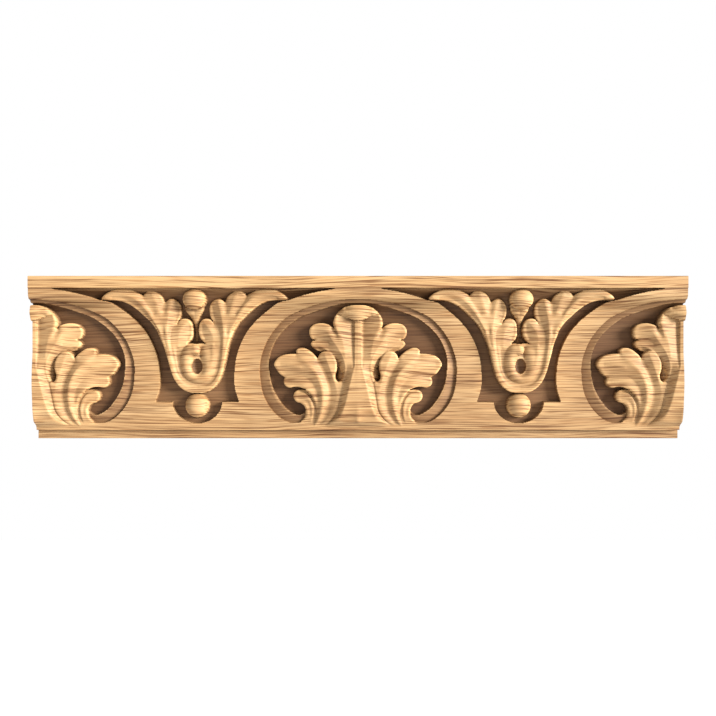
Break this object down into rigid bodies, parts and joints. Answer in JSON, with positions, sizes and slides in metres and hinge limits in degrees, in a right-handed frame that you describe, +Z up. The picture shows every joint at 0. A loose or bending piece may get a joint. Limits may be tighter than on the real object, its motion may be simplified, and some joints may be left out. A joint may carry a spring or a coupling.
{
  "type": "carved wood cornice moulding",
  "caption": "Carved oak moulding with arched acanthus leaves and tulips between two plain fillets, cut square at both ends.",
  "frame": {"origin": "centre of the flat back face", "axes": "+X along the moulding, +Y out of the flat back into the wall, +Z up towards the wide top fillet"},
  "size_m": [0.32, 0.026, 0.08],
  "materials": {
    "oak": "satin"
  },
  "bodies": {
    "root": {"moulding": "oak"}
  },
  "joints": []
}
